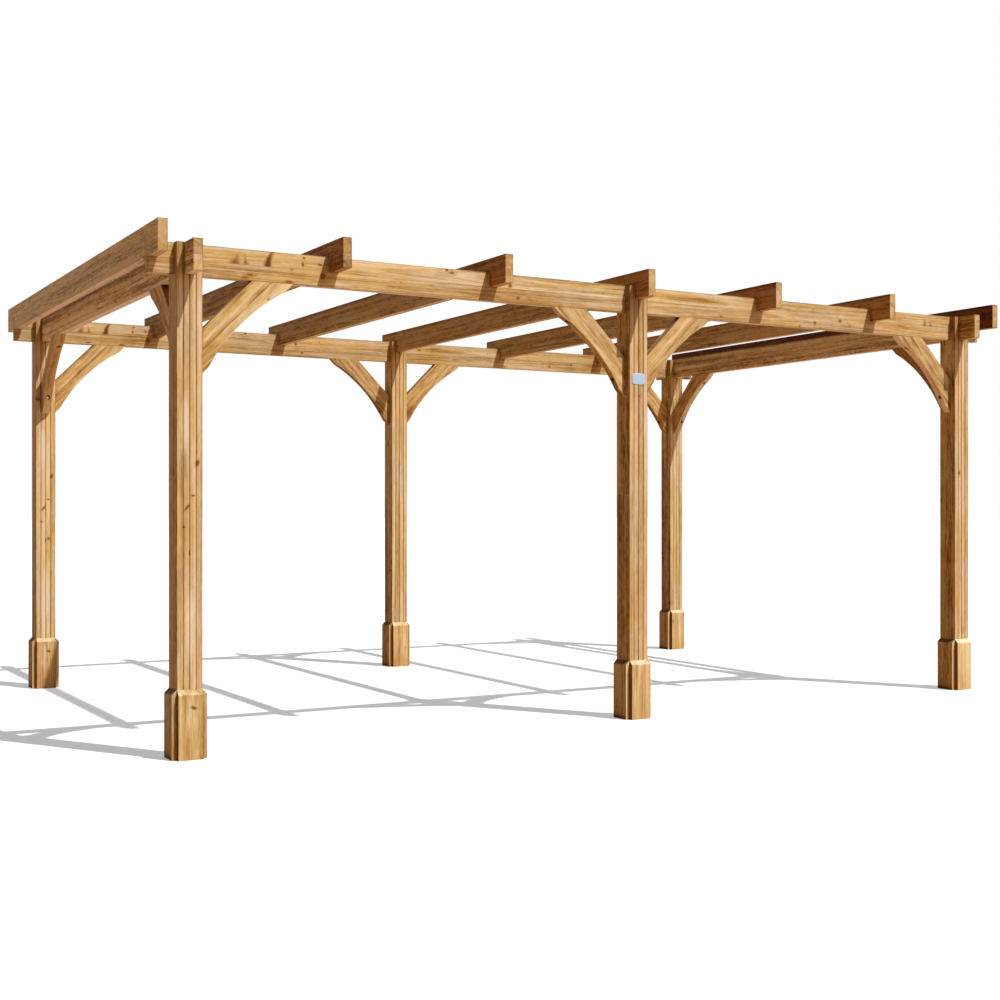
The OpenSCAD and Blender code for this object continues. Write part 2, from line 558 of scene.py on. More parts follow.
# %% Knots
KEPT = {"board": 0.30, "rafter": 0.30, "brace": 0.30, "post": 0.14, "shoe": 0.14}
HALO_FALL, BARK_RISE, BARK_FALL, MIDDLE_FALL = (1.0, 4.5), (0.55, 0.95), (1.0, 1.4), (0.75, 1.15)
SET_HALO, SET_MIDDLE = (1.0, 2.4), (0.8, 1.2)
SET_RISE, SET_FALL = (0.4, 0.9, 0.4, 0.7), (1.0, 1.3, 0.9)
SPIKE_HALO, SPIKE_BARK = (0.0, 0.8), (0.5, 1.2)
RAGGED = 0.4
KNOT_GLOW, GLOW_SHARE = (0.47, 0.235, 0.055), 0.55
KNOT_HEART, HEART_SHARE = (0.28, 0.118, 0.022), 0.75
KNOT_RIM, RIM_SHARE = (0.11, 0.030, 0.007), 0.85


def knot_marks(solid, at, log, ragged):
    """The warm surroundings, dark bark and brown middle of all knots, each from nought to one."""
    spread, kept = branches(log, KEPT[solid.cut])
    halo = spread.fall(*HALO_FALL) * kept
    bark = spread.step(*BARK_RISE) * spread.fall(*BARK_FALL) * kept
    middle = spread.fall(*MIDDLE_FALL) * kept
    if solid.knots:
        near = round_knots(at, solid.knots) + ragged * RAGGED
        halo = halo.most(near.fall(*SET_HALO))
        bark = bark.most(near.step(*SET_RISE) * near.fall(*SET_FALL))
        middle = middle.most(near.fall(*SET_MIDDLE))
    if solid.spikes:
        dark = spike_knots(at, ragged, solid.spikes)
        halo = halo.most(dark.step(*SPIKE_HALO))
        bark = bark.most(dark.step(*SPIKE_BARK))
        middle = middle.most(dark)
    return SimpleNamespace(halo=halo, bark=bark, middle=middle)


def knotted(colour, knots):
    """A colour with the knots laid over it, from the outside to the rim."""
    colour = colour.blend(KNOT_GLOW, knots.halo * GLOW_SHARE)
    colour = colour.blend(KNOT_HEART, knots.middle * HEART_SHARE)
    return colour.blend(KNOT_RIM, knots.bark * RIM_SHARE)


print("branches kept in a beam:", KEPT["board"], "in a post:", KEPT["post"])

# %% [markdown]
# Between the rings, wood is never even. Fibres, streaks, stripes and clouds run along the
# grain, each at its own scale, and stain and weather add mottles and specks. All of them are
# one noise, stretched by other amounts, so a table is enough. The rings themselves come from
# the distance to the heart: each year's wood darkens slowly and ends at once, and the years
# bend round a knot.

# %% Grain
# Each noise by its changes in a metre along and across, its start, its detail and roughness
NOISES = {
    "streak": (1.1, 65.0, 0.0, 3.0, 0.6), "stripe": (0.5, 24.0, 7.0, 1.0, 0.5),
    "fibre": (11.0, 700.0, 0.0, 1.0, 0.5), "cloud": (1.1, 9.0, 17.0, 2.0, 0.5),
    "mottle": (8.0, 42.0, 29.0, 3.0, 0.6), "speck": (26.0, 130.0, 41.0, 2.0, 0.6),
    "ragged": (90.0, 60.0, 5.0, 3.0, 0.6),
}
RING_WIDTHS = (0.0045, 0.0065)
KNOT_BEND, STREAK_BEND = 0.008, 0.004
LATE_RISE, LATE_END = (0.3, 0.93), (0.93, 1.0)
BAND_PITCH = 45.0
BAND_SHAPE = {"Scale": 1.0, "Detail": 1.5, "Roughness": 0.6}


def grain_noises(spot):
    """All the noises at a place in the log, each around one half."""
    found = SimpleNamespace()
    for name, (along, across, start, *shape) in NOISES.items():
        stretched = spot.stretch((along, across, across), (start, 0.0, 0.0))
        setattr(found, name, stretched.noise(*shape))
    return found


def growth_rings(log, halo, streak, dice):
    """Late wood within each year, and a slower change from one group of years to the next.

    The distance from the heart over the width of a ring counts the years, and what is left
    over after the whole ones tells the season."""
    rings = log.distance + halo * halo * KNOT_BEND + streak * STREAK_BEND
    season = rings.math("FRACT", rings / dice.uniform(*RING_WIDTHS))
    late = season.step(*LATE_RISE) * season.fall(*LATE_END)
    sockets = {"W": rings * BAND_PITCH + log.start, **BAND_SHAPE}
    return late, rings.add("TexNoise", {"noise_dimensions": "1D"}, sockets)


print("noises in the grain:", len(NOISES))

# %% [markdown]
# How pale the wood is at a point is one number: the shade of its layer, plus or minus all that
# the grain does there. Adding numbers and turning the sum into a colour once keeps every board
# in the same family of colours, which mixing many colours would not. The patterns are stronger
# on the sides with painted shade and on the outer boards, which the weather reaches. Undersides
# are paler as painted light on boards and darker as painted shade on rafters, a few hollow
# edges get painted light, and patches seen in the picture are paler or darker, some of them as
# painted shade.

# %% Paleness
MIDDLE_TONE = 0.64
BAND, STREAK, STRIPE, FIBRE, CLOUD = 0.6, 0.85, 0.7, 0.2, 0.55
LATE_SHADE = 0.24
LINES = {"board": 0.75, "rafter": 1.0, "brace": 0.75, "post": 1.0, "shoe": 0.75}
MOTTLES = {"board": 0.5, "rafter": 0.5, "brace": 1.1, "post": 0.5, "shoe": 0.5}
SPECKS = 0.35
MORE_LINES, MORE_MOTTLES, MORE_SPECKS = (0.5, 0.7), (1.0, 0.6), (0.9, 0.9)
# Undersides: paler on boards as painted light, darker on rafters as painted shade
UNDERSIDE_LIGHT_AND_SHADE = {"board": 0.2, "rafter": -0.12, "brace": 0.0, "post": 0.0, "shoe": 0.0}
HOLLOW_LIGHT_TIP = (0.18, 0.29)
PATCH_RIM = (0.2, 1.2)


def strength(at, plain, more):
    """How strong a pattern is: plain on a planed face, more on sides with painted shade and where
    weather got in.
    """
    return plain + at.stained * more[0] + at.worn * more[1]


def lifted(solid, at):
    """Pale and dark places that do not come from the grain, as a change of paleness, painted light and
    shade among them.
    """
    change = (at.z < SKIN - solid.half[2]) * UNDERSIDE_LIGHT_AND_SHADE[solid.cut]
    if solid.fresh:
        # painted light on the hollow edge of a brace, along it and at its lower tip
        change = at.rough * (0 - at.x).step(*HOLLOW_LIGHT_TIP, *solid.fresh)
    for *ellipse, shade in solid.patches:
        change = change + round_knots(at, [ellipse]).fall(*PATCH_RIM, shade) * at.flank
    return change


def paleness(solid, at, log, grain, late, band):
    """How pale the grain is, nought for brown and one for cream."""
    lines = band.swing(BAND) + grain.streak.swing(STREAK) + grain.stripe.swing(STRIPE)
    lines = lines - late * LATE_SHADE + grain.fibre.swing(FIBRE)
    change = lines * strength(at, LINES[solid.cut], MORE_LINES) + grain.cloud.swing(CLOUD)
    mottles = at.flank * strength(at, MOTTLES[solid.cut], MORE_MOTTLES)
    specks = at.flank * strength(at, SPECKS, MORE_SPECKS)
    change = change + grain.mottle.swing(mottles) + grain.speck.swing(specks)
    return log.shade + MIDDLE_TONE + change


print("middle tone", MIDDLE_TONE)

# %% [markdown]
# A ramp from brown over gold to cream turns paleness into colour. Over it lie soft areas of
# rose and gold, as the oil in the wood and the sun leave them, and painted shade on the chosen
# sides. These only take light away, so they are multiplied and the grain stays visible under
# them. A rafter gets more painted shade at its front end, over the beam, and is darker along
# its top.

# %% Colours
DEEP_BROWN = (0.25, 0.127, 0.045)
HONEY = (0.49, 0.325, 0.150)
STRAW = (0.64, 0.485, 0.262)
CREAM = (0.84, 0.715, 0.495)
RAMP_PLACES = (0.10, 0.36, 0.55, 0.88)
TONES, WARMTHS = (0.97, 1.03), (-0.05, 0.06)
WARMTH = {"board": 0.0, "rafter": 0.04, "brace": 0.02, "post": 0.02, "shoe": 0.04}
ROSE, BLUSH_RISE = (1.0, 0.89, 0.92), (0.35, 0.65)
GOLDEN, GOLD_PITCH, GOLD_RISE = (0.99, 0.87, 0.57), (2.2, 11.0, 11.0), (0.36, 0.66)
GOLD_LEFT, GOLD_BASE = 0.5, 0.45
GOLD_WORN, GOLD_LIFTED, GOLD_BEVEL = 0.35, 4, 0.6
# Painted shade on the chosen sides
SIDE_PAINTED_SHADE = (0.76, 0.68, 0.55)
# Painted shade at the front end of a rafter, where it reaches over the beam
TAIL_PAINTED_SHADE, TAIL_START, TAIL_FULL = (0.88, 0.63, 0.49), 0.50, 0.25
EDGE_SHADE = (0.60, 0.50, 0.40)
CREST, CREST_SHARE = 0.035, 0.8


def board_colours(tone, warmth):
    """Ramp stops for one board: tone lightens all of them, warmth takes out green and blue."""
    cast = np.array([tone, tone * (1 - 0.5 * warmth), tone * (1 - warmth)])
    colours = np.clip(np.array([DEEP_BROWN, HONEY, STRAW, CREAM]) * cast, 0, 1)
    return list(zip(RAMP_PLACES, colours.tolist()))


def golden(solid, at, lift):
    """How golden a point is. Small pieces are so nearly all over, and pale places less."""
    own = at.x.add("CombineXYZ", sockets={0: at.x + solid.seed, 1: at.y, 2: at.z})
    gold = own.stretch(GOLD_PITCH).noise(3.0, 0.6).step(*GOLD_RISE)
    if solid.cut in ("shoe", "brace"):
        gold = gold * GOLD_LEFT + GOLD_BASE
    else:
        gold = gold * (1 - solid.worn * GOLD_WORN)
    return gold - lift * GOLD_LIFTED - at.bevel * GOLD_BEVEL


def painted_shades_and_crest(solid, at):
    """Painted shade on the chosen sides, and on a rafter more at its front end and a darker top."""
    yield SIDE_PAINTED_SHADE, at.stained
    if solid.cut == "rafter":
        end, _, top = solid.half
        yield TAIL_PAINTED_SHADE, (0 - at.x).step(end - TAIL_START, end - TAIL_FULL) * at.stained
        yield EDGE_SHADE, at.z.step(top - CREST, top, 0.0, CREST_SHARE) * at.stained


def wood_colour(solid, at, log, cloud, pale, lift, dice):
    """The colour of clear wood, without knots."""
    warmth = dice.uniform(*WARMTHS) + WARMTH[solid.cut]
    stops = board_colours(dice.uniform(*TONES), warmth)
    colour = pale.add("ValToRGB", {"stops": stops}, {0: pale + lift})
    blush = cloud.step(*BLUSH_RISE) * log.blush
    return colour.tinted([(ROSE, blush), (GOLDEN, golden(solid, at, lift)), *painted_shades_and_crest(solid, at)])


print("ramp from", DEEP_BROWN, "to", CREAM)

# %% [markdown]
# What is left are darker places: sawn ends, edges and glue lines; the grooves between the
# strips of the posts, where dirt settles; the feet, darker towards the ground; and painted shade
# at the heads of the posts, in tight corners and on the sides that stand a hand's width from
# another board. A mask picked face by face would have to be made again for every solid. Here
# each is a formula of the place in the board, listed by the way it was sawn.

# %% Shades of ends and edges
END_SHADE = (0.84, 0.76, 0.66)
EDGE_WIDTH, EDGE_SHARE = 0.007, 0.75
GAP_PAINTED_SHADE = (0.42, 0.30, 0.28)
GLUE_SHADE, GLUE_LINE = (0.80, 0.74, 0.66), (0.0003, 0.0009)
GLUE_SHARE = {"board": 1.0, "rafter": 1.0, "brace": 0.4}
# Painted shade for tight corners, the recesses of the shoes and the upper edges of braces
CORNER_PAINTED_SHADE = (0.34, 0.22, 0.15)
UPPER_EDGE_SHARE = 0.85


def near_edge(at, half):
    """How far a point on a board is from its nearest edge.

    Of the three distances to the sides of the box, the smallest is nought on the surface, so
    the distance to the edge is the middle one."""
    one, two, three = (size - abs(v) for size, v in zip(half, (at.x, at.y, at.z)))
    return one.least(two).most(one.most(two).least(three))


def ends_and_edges(solid, at):
    """Sawn ends, darker edges, and painted shade on a side facing another board across a narrow gap."""
    yield END_SHADE, abs(at.x) > solid.half[0] - SKIN
    yield EDGE_SHADE, near_edge(at, solid.half).fall(0.0, EDGE_WIDTH, EDGE_SHARE)
    if solid.gap:
        # painted shade on the side facing another board across a narrow gap
        yield GAP_PAINTED_SHADE, at.y * solid.gap > solid.half[1] - SKIN


def glue_line(solid, at):
    yield GLUE_SHADE, abs(at.z - solid.seam).fall(*GLUE_LINE, GLUE_SHARE[solid.cut])


def upper_edge(solid, at):
    """Painted shade on the straight upper edge of a brace, which looks into the corner of post and
    beam.
    """
    yield CORNER_PAINTED_SHADE, (at.z > 2 * solid.half[2] - SKIN) * UPPER_EDGE_SHARE


print("edges are worn over", EDGE_WIDTH, "m")

# %% [markdown]
# Posts get painted shade at the head, and their grooves hold dirt. The shoes are darker towards
# the ground, with painted shade in the recess beside each of their boards, at the foot of their
# sides and on their side bevels. Tight corners between pieces get painted shade too, and for them
# no formula of one board will do, because it does not know its neighbours. The Ambient
# Occlusion node does: it looks a hand's width around and says how open a point lies.

# %% Shades of feet, heads and corners
# Painted shade at the head of a post
HEAD_PAINTED_SHADE, HEAD_START, HEAD_FULL = (0.78, 0.69, 0.56), 0.30, 0.06
GROOVE_SHADE, GROOVE_FLOOR, GROOVE_DEPTH = (0.70, 0.58, 0.45), 0.0006, 0.0035
OUTER_GLUE = 1.5 * STRIP
FOOT_DARKENING, FOOT_DARKENING_HEIGHT = (0.92, 0.86, 0.76), 0.16
FOOT, BEVEL_SHARE = (0.004, 0.03), 0.9
CORNER_REACH, CORNER_LOOKS = 0.07, 4
TIGHT = (0.2, 0.72)
CLEAR_OF_GROUND = (0.02, 0.10)


def head_and_grooves(solid, at):
    """Painted shade at the head of a post, and its grooves: near a glue line between strips, close to a
    face.
    """
    top = solid.half[0]
    yield HEAD_PAINTED_SHADE, at.x.step(top - HEAD_START, top - HEAD_FULL)
    line = at.z.math("PINGPONG", at.z, STRIP / 2)
    inner = (abs(at.z) < OUTER_GLUE) * (abs(at.y) > solid.half[1] - GROOVE_DEPTH)
    yield GROOVE_SHADE, line.fall(GROOVE_FLOOR, GROOVE_DEPTH) * inner


def darker_feet_and_painted_shade(solid, at):
    """Shoe boards: darker towards the bottom, with painted shade in the recess, the foot of the sides
    and side bevels.
    """
    height = at.x + solid.half[0]
    yield FOOT_DARKENING, height.fall(0.0, FOOT_DARKENING_HEIGHT)
    # painted shade in the recess, at the foot of the sides and on the side bevels
    recess = (abs(at.y) > abs(at.z)) * (abs(at.z) > SHOE_EDGE - SKIN)
    yield CORNER_PAINTED_SHADE, recess.most(at.rough * height.fall(*FOOT).most(at.bevel * BEVEL_SHARE))


def tight_corners(solid, at):
    """Painted shade in corners between pieces. A shoe has none close to the ground and on its bevel."""
    looks = {"samples": CORNER_LOOKS}
    room = at.x.add("AmbientOcclusion", looks, {"Distance": CORNER_REACH}, "AO")
    tight = room.fall(*TIGHT)
    if solid.cut == "shoe":
        tight = tight * (at.x + solid.half[0]).step(*CLEAR_OF_GROUND) * (1 - at.bevel)
    yield CORNER_PAINTED_SHADE, tight


SHADINGS = {
    "board": (ends_and_edges, glue_line, tight_corners),
    "rafter": (ends_and_edges, glue_line, tight_corners),
    "post": (ends_and_edges, head_and_grooves, tight_corners),
    "shoe": (darker_feet_and_painted_shade, tight_corners),
    "brace": (upper_edge, glue_line, tight_corners),
}
print("shadings for", ", ".join(SHADINGS))

# %% [markdown]
# Now the formula is put together. Every solid gets its own dice, so no two look alike, and the
# same number always gives the same board. Planed timber is matt, its late wood and knots are
# harder and a little smoother, and its fibres stand up a fraction of a millimetre. A bump is
# enough for that, since such lines are far too fine to be modelled.

# %% Timber
MATT, LATE_GLOSS, KNOT_GLOSS = 0.74, 0.14, 0.2
GLOSS_OF_WOOD = 0.12
BUMP_STRENGTH, BUMP_DEPTH = 0.55, 0.0012
STREAK_HEIGHT, FIBRE_HEIGHT = 0.6, 0.5


def timber(solid):
    """The finished material of one solid."""
    dice = random.Random(solid.seed)
    finish, wire = new_finish("timber_" + solid.name)
    at = place_in_board(wire, solid)
    log = LAYERS[solid.cut](dice, at, solid)
    log.distance, log.direction = from_heart(log)
    grain = grain_noises(log.spot)
    knots = knot_marks(solid, at, log, grain.ragged - 0.5)
    late, band = growth_rings(log, knots.halo, grain.streak, dice)
    pale = paleness(solid, at, log, grain, late, band)
    colour = wood_colour(solid, at, log, grain.cloud, pale, lifted(solid, at), dice)
    colour = knotted(colour, knots)
    for shading in SHADINGS[solid.cut]:
        colour = colour.tinted(shading(solid, at))
    height = grain.streak * STREAK_HEIGHT + grain.fibre * FIBRE_HEIGHT
    bump = {"Strength": BUMP_STRENGTH, "Distance": BUMP_DEPTH, "Height": height}
    put_out(wire, {
        "Base Color": colour,
        "Roughness": MATT - late * LATE_GLOSS - knots.middle * KNOT_GLOSS,
        "Normal": wire.add("Bump", sockets=bump),
        "Specular IOR Level": GLOSS_OF_WOOD,
    })
    return finish


print("timber ready")

# %% [markdown]
# The formula needs to know how each solid was sawn. Boards run along the frame, from front to
# back, upright or slanting, and a turn of the material's frame puts the grain along each. The
# names of the solids tell which is which, and their boxes give the sizes, so nothing has to be
# measured again.

# %% Sawn boards
ALONG, BACKWARDS, UPRIGHT = (0, 0, 0), (0, 0, 90), (0, -90, 0)
BRACE_TURNS = {
    "right": (0, -45, 0),
    "left": (0, -135, 0),
    "back": (0, -45, 90),
    "front": (0, -45, -90),
}
BRACE_LEANS = {
    "brace_front_left": "right", "brace_front_middle_left": "left",
    "brace_front_middle_right": "right", "brace_front_right": "left",
    "brace_back_left": "right", "brace_back_middle_left": "left",
    "brace_back_middle_right": "right", "brace_back_right": "left",
    "brace_left_front": "back", "brace_left_back": "front",
    "brace_right_front": "back", "brace_right_back": "front",
}
BRACE_HALF = (0.32, 0.0225, 0.0725)
OUTER_BOARDS = ("rafter_1", "side_beam_left", "side_beam_right")
GAP_SIDES = {"rafter_1": -1, "rafter_7": 1}


def sawn(name, half):
    """How a solid was sawn, how its grain is turned, and half its length, width and depth."""
    if name.startswith("brace"):
        return "brace", BRACE_TURNS[BRACE_LEANS[name]], BRACE_HALF
    if name.startswith(("post", "shoe")):
        return name.split("_")[0], UPRIGHT, half[[2, 1, 0]]
    if name.startswith("beam"):
        return "board", ALONG, half
    return "board" if name in OUTER_BOARDS else "rafter", BACKWARDS, half[[1, 0, 2]]


print("braces:", len(BRACE_LEANS), "outer boards:", len(OUTER_BOARDS))

# %% [markdown]
# Chance gives good timber, but not this timber. Some boards in the picture are plainly paler
# or darker than their neighbours, and on a few braces the hollow edge gets painted light along
# the brace and at its lower tip, in place of painted shade. Both are noted here, as two numbers
# for a board. Two of the darker shades are painted shade: the right front brace, which stands
# in deep shade, and the upper layer of the left side beam, in the shade of rafter 1.

# %% Shades seen in the picture
# Shade of the lower and the upper layer, light above nought
SHADES = {
    "beam_left": (-0.09, 0.04), "beam_right": (-0.06, 0.01),
    "beam_back_left": (-0.14, -0.05), "beam_back_right": (-0.12, -0.08),
    "brace_front_left": (0.14, -0.10), "brace_back_left": (0.12, -0.12),
    "brace_front_right": (-0.14, -0.13), "brace_back_middle_left": (-0.20, -0.16),
    # Painted shade: this brace stands in deep shade
    "brace_right_front": (-0.40, -0.40),
    "post_left": (0.12, 0.12), "post_right": (0.03, 0.03), "post_back_middle": (0.04, 0.04),
    "rafter_1": (0.13, 0.11), "rafter_3": (0.12, 0.08), "rafter_4": (0.10, 0.10),
    "rafter_5": (0.14, 0.12), "rafter_6": (0.16, 0.12),
    # side_beam_left: its upper layer is darker as painted shade under rafter 1
    "side_beam_right": (0.10, 0.08), "side_beam_left": (0.10, -0.10),
    "shoe_front_middle": (0.14, 0.14), "shoe_right": (0.17, 0.17),
}

# Painted light on hollow edges: its change of shade along the brace and at its lower tip
HOLLOW_PAINTED_LIGHT = {
    "brace_left_front": (-0.06, 0.45), "brace_left_back": (-0.06, 0.45),
    "brace_right_front": (0.28, 0.28), "brace_right_back": (0.28, 0.28),
    "brace_front_right": (0.33, 0.25),
}
print("shades set by hand:", len(SHADES), "fresh edges:", len(HOLLOW_PAINTED_LIGHT))

# %% [markdown]
# A row of large knots near the left corner, a few small ones and some pale or dark stretches
# catch the eye as well. They are listed, in metres from the middle of the solid, along and
# across it. A picture laid over the boards would show more of them, but it would be blurred
# from close by and empty on every side that the picture does not show.

# %% Knots seen in the picture
# Round knots: place along and across, radii and lean
KNOTS = {
    "beam_left": [
        (-0.590, 0.026, 0.005, 0.009, 0.0), (-0.488, -0.022, 0.013, 0.012, 0.0),
        (-0.503, 0.032, 0.009, 0.005, -0.5), (-0.584, 0.056, 0.006, 0.004, 0.0),
        (-0.660, -0.063, 0.016, 0.005, 0.0), (-0.878, -0.060, 0.014, 0.004, 0.0),
        (0.184, 0.065, 0.007, 0.006, 0.0), (0.552, 0.014, 0.009, 0.008, 0.0),
        (0.600, -0.045, 0.008, 0.007, 0.0),
    ],
    "beam_right": [(-0.036, -0.040, 0.008, 0.007, 0.0), (0.162, -0.015, 0.009, 0.006, 0.0)],
    "shoe_left": [(0.077, -0.013, 0.006, 0.010, 0.2)],
    "post_left": [
        (0.172, -0.0365, 0.012, 0.007, -0.6), (-0.030, 0.0123, 0.007, 0.010, -1.0),
        (0.024, -0.0156, 0.004, 0.006, 0.0), (-0.118, 0.0262, 0.004, 0.006, 0.0),
        (-0.236, 0.0007, 0.010, 0.003, 0.0),
    ],
}

# Spikes: foot, height, half widths at foot and tip, lean and darkness
SPIKES = {
    "beam_left": [
        (-0.926, 0.066, 0.034, 0.003, 0.030, 0.9), (-0.874, 0.056, 0.016, 0.004, -0.006, 0.8),
        (-0.767, 0.110, 0.018, 0.012, 0.060, 1.4),
    ],
    "beam_right": [
        (0.867, 0.060, 0.022, 0.003, 0.012, 0.8), (0.918, 0.052, 0.014, 0.003, -0.006, 0.8),
    ],
}

# Larger pale and dark places, like round knots but with a change of shade at the end
PATCHES = {
    "post_left": [
        (0.352, 0.022, 0.16, 0.024, 0.0, 0.38), (-0.570, -0.002, 0.18, 0.022, 0.0, 0.34),
        # Painted shade: long dark strips over the sides of the post
        (0.0, 0.0625, 4.0, 0.0035, 0.0, -0.06), (0.0, -0.0625, 4.0, 0.0035, 0.0, -0.06),
    ],
    "post_front_middle": [(0.60, -0.046, 0.80, 0.018, 0.0, 0.40)],
    "shoe_left": [(0.05, 0.010, 0.13, 0.014, 0.0, 0.25)],
    "beam_left": [(-0.01, -0.045, 0.40, 0.030, 0.0, -0.09)],
    "beam_back_left": [(-0.57, -0.012, 0.12, 0.06, 0.0, -0.08), (0.58, -0.019, 0.22, 0.06, 0.0, -0.08)],
    "beam_right": [
        (-0.93, 0.028, 0.28, 0.022, 0.0, -0.30), (0.60, -0.022, 0.14, 0.02, 0.0, -0.20),
        (0.83, 0.039, 0.22, 0.035, 0.0, 0.12), (0.83, -0.040, 0.25, 0.035, 0.0, -0.14),
        (-0.09, -0.055, 0.20, 0.020, 0.0, 0.10),
    ],
    "brace_left": [(-0.24, 0.035, 0.16, 0.07, 0.0, -0.30)],
    "brace_middle_right": [(-0.24, 0.035, 0.16, 0.07, 0.0, -0.25), (0.05, 0.09, 0.5, 0.2, 0.0, -0.05)],
    "rafter_1": [(-1.45, 0.0, 0.60, 0.16, 0.0, -0.06)],
    # Painted shade: the front end of the right side beam, which lies in shade
    "side_beam_right": [(-1.59, 0.0, 0.12, 0.16, 0.0, -0.45)],
}
print("boards with knots:", len(KNOTS), "with spikes:", len(SPIKES), "with patches:", len(PATCHES))

# %% [markdown]
# Each solid now gets its own timber. The solids keep their meshes, and only what stands in
# their material slots changes. A board at the back takes the marks of its twin at the front
# where it has none of its own, so that both sides look equally finished.

# %% Dress the solids
FIRST_SEED = 100
UNSEEN_SHADES = (-0.13, 0.02)


def facts(name, seed):
    """All that the timber formula asks about one solid."""
    low, high = (np.array(corner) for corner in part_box(name))
    cut, turn, half = sawn(name, (high - low) / 2)
    twin = name.replace("front_", "").replace("back_", "")
    unseen = (random.Random(seed).uniform(*UNSEEN_SHADES),) * 2
    knots, spikes, patches, fresh = (
        table.get(name, table.get(twin, ())) for table in (KNOTS, SPIKES, PATCHES, HOLLOW_PAINTED_LIGHT)
    )
    return SimpleNamespace(
        name=name, seed=seed, cut=cut, turn=turn,
        centre=((low + high) / 2).tolist(), half=[float(size) for size in half],
        seam=LAYER_DEPTH if cut == "brace" else 0.0,
        shades=SHADES.get(name, SHADES.get(twin, unseen)),
        knots=knots, spikes=spikes, patches=patches, fresh=fresh,
        worn=1.0 if name in OUTER_BOARDS else 0.0,
        stain=0.0 if fresh else 1.0,
        gap=GAP_SIDES.get(name, 0),
    )


for number, name in enumerate(sorted(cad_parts)):
    finish = timber(facts(name, FIRST_SEED + number))
    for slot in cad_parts[name].material_slots:
        slot.material = finish
print("solids dressed:", len(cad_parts))

# %% [markdown]
# Each brace is pulled against its post and its beam by two coach screws, whose heads sit with
# a washer at the bottom of the holes. A head is a turned shape, but its sides are six flats.
# So one profile is carried round a circle, and where the head is, the radius follows a hexagon:
# half the width across the flats, divided by the cosine of the angle to the nearest flat.

# %% Screw heads
ROUND, HEX, NEARLY_HEX = 0.0, 1.0, 0.55
SCREW_PROFILE = np.array([
    (0.0095, -0.0002, ROUND), (0.0103, 0.0000, ROUND), (0.0106, 0.0004, ROUND),
    (0.0106, 0.0016, ROUND), (0.0103, 0.0020, ROUND), (0.0098, 0.0021, ROUND),
    (0.0080, 0.0021, HEX), (0.0080, 0.0070, HEX), (0.0079, 0.0078, NEARLY_HEX),
    (0.0074, 0.0084, ROUND), (0.0060, 0.0087, ROUND),
])
SCREW_TURNS = 48


def turned(profile, turns):
    """Points of a profile carried round the z axis, and the faces between them.

    Row r and column c lie at radius times (cos, sin) of c turns and at the row's height. The
    radius of a hexagonal row is divided by the cosine of the angle to its nearest flat. Two
    points on the axis close the ends."""
    angle = np.linspace(0, 2 * np.pi, turns, endpoint=False)
    from_flat = np.mod(angle, np.pi / 3) - np.pi / 6
    radius, height, hexagonal = profile.T[:, :, None]
    reach = radius * (1 + hexagonal * (1 / np.cos(from_flat) - 1))
    rings = np.stack([reach * np.cos(angle), reach * np.sin(angle), height + 0 * angle], -1)
    ends = np.array([[0, 0, profile[0, 1]], [0, 0, profile[-1, 1]]])
    return np.concatenate([rings.reshape(-1, 3), ends]), ring_faces(len(profile), turns)


def ring_faces(rows, turns):
    """Quads between neighbouring rows, and triangles from the last two points to both ends."""
    column = np.arange(turns)
    after = np.roll(column, -1)
    base = (np.arange(rows - 1) * turns)[:, None]
    quads = np.stack([base + column, base + after, base + turns + after, base + turns + column], -1)
    first, last = rows * turns, rows * turns + 1
    top = (rows - 1) * turns
    start = np.stack([np.full(turns, first), after, column], -1)
    end = np.stack([np.full(turns, last), top + column, top + after], -1)
    return quads.reshape(-1, 4).tolist() + start.tolist() + end.tolist()


head, head_faces = turned(SCREW_PROFILE, SCREW_TURNS)
print("points in a screw head:", len(head))

# %% [markdown]
# The screws sit where the holes are: one goes level into the post and one upright into the
# beam. Modelling one head and linking it 24 times would be the usual way, but a piece that is
# one mesh at the origin keeps its pattern when it is exported. So the points of the head are
# turned and moved into all 24 places at once, as one array.

# %% Screw seats
WOOD_LEFT = 0.045
FIX_AT = 0.360061
STEEP = 0.9
HEADINGS = {"right": (1, 0, 0), "left": (-1, 0, 0), "back": (0, 1, 0), "front": (0, -1, 0)}


def screw_seats():
    """Where each screw's washer lies and the way its head points, two for every brace.

    Both are counted from the top corner between post and beam: along the lean and down."""
    boxes = np.array([[list(corner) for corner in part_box(name)] for name in BRACE_LEANS])
    away = np.array([HEADINGS[lean] for lean in BRACE_LEANS.values()], float)
    post_face = boxes.mean(1) - away * (boxes[:, 1, 2] - boxes[:, 0, 2])[:, None] / 2
    post_face[:, 2] = boxes[:, 1, 2]
    down = np.tile([[0.0, 0.0, -1.0]], (len(away), 1))
    into_post = post_face + away * WOOD_LEFT + down * FIX_AT
    into_beam = post_face + away * FIX_AT + down * WOOD_LEFT
    return np.concatenate([into_post, into_beam]), np.concatenate([away, down])


def repeated(points, faces, origins, axes):
    """Copies of a turned shape, each with its z axis along an axis, as one set of points."""
    helper = np.where(np.abs(axes[:, 2:]) > STEEP, [[1.0, 0, 0]], [[0, 0, 1.0]])
    side = np.cross(helper, axes)
    frames = np.stack([side, np.cross(axes, side), axes], 1)
    placed = origins[:, None] + np.einsum("pk,skj->spj", points, frames)
    shifts = np.arange(len(origins)) * len(points)
    return placed.reshape(-1, 3), [[v + int(s) for v in face] for s in shifts for face in faces]


def add_piece(name, points, faces, finish, slot, crease):
    """Puts points and faces into a new object that rides on the frame."""
    mesh = bpy.data.meshes.new(name)
    mesh.from_pydata(points.tolist(), [], faces)
    mesh.shade_smooth()
    mesh.set_sharp_from_angle(angle=math.radians(crease))
    mesh.materials.append(finish)
    piece = bpy.data.objects.new(name, mesh)
    bpy.context.scene.collection.objects.link(piece)
    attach(piece, "root")
    print(name, "faces:", len(faces))


